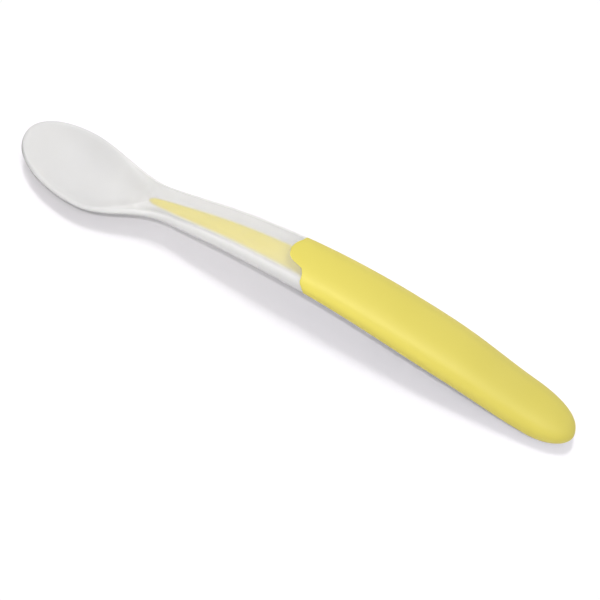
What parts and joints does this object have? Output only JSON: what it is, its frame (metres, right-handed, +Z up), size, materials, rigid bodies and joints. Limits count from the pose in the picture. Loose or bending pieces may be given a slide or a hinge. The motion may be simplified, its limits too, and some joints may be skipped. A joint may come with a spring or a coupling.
{
  "type": "baby spoon",
  "caption": "Long baby spoon with a shallow translucent silicone bowl and neck cast over a stiff tapering core, and a soft grip closed round the core's wide tang.",
  "frame": {"origin": "on the table under the middle of the spoon's length, at the centre of the base of its box", "axes": "+X from the tip of the bowl towards the end of the grip, +Z up out of the hollow of the bowl, +Y across the spoon"},
  "size_m": [0.16, 0.0234, 0.0143],
  "materials": {
    "silicone": "translucent moulded silicone, satin",
    "core_plastic": "moulded polypropylene",
    "soft_grip": "soft-touch elastomer, satin"
  },
  "bodies": {
    "root": {"handle_core": "core_plastic", "silicone_head": "silicone", "grip_sleeve": "soft_grip"}
  },
  "joints": []
}
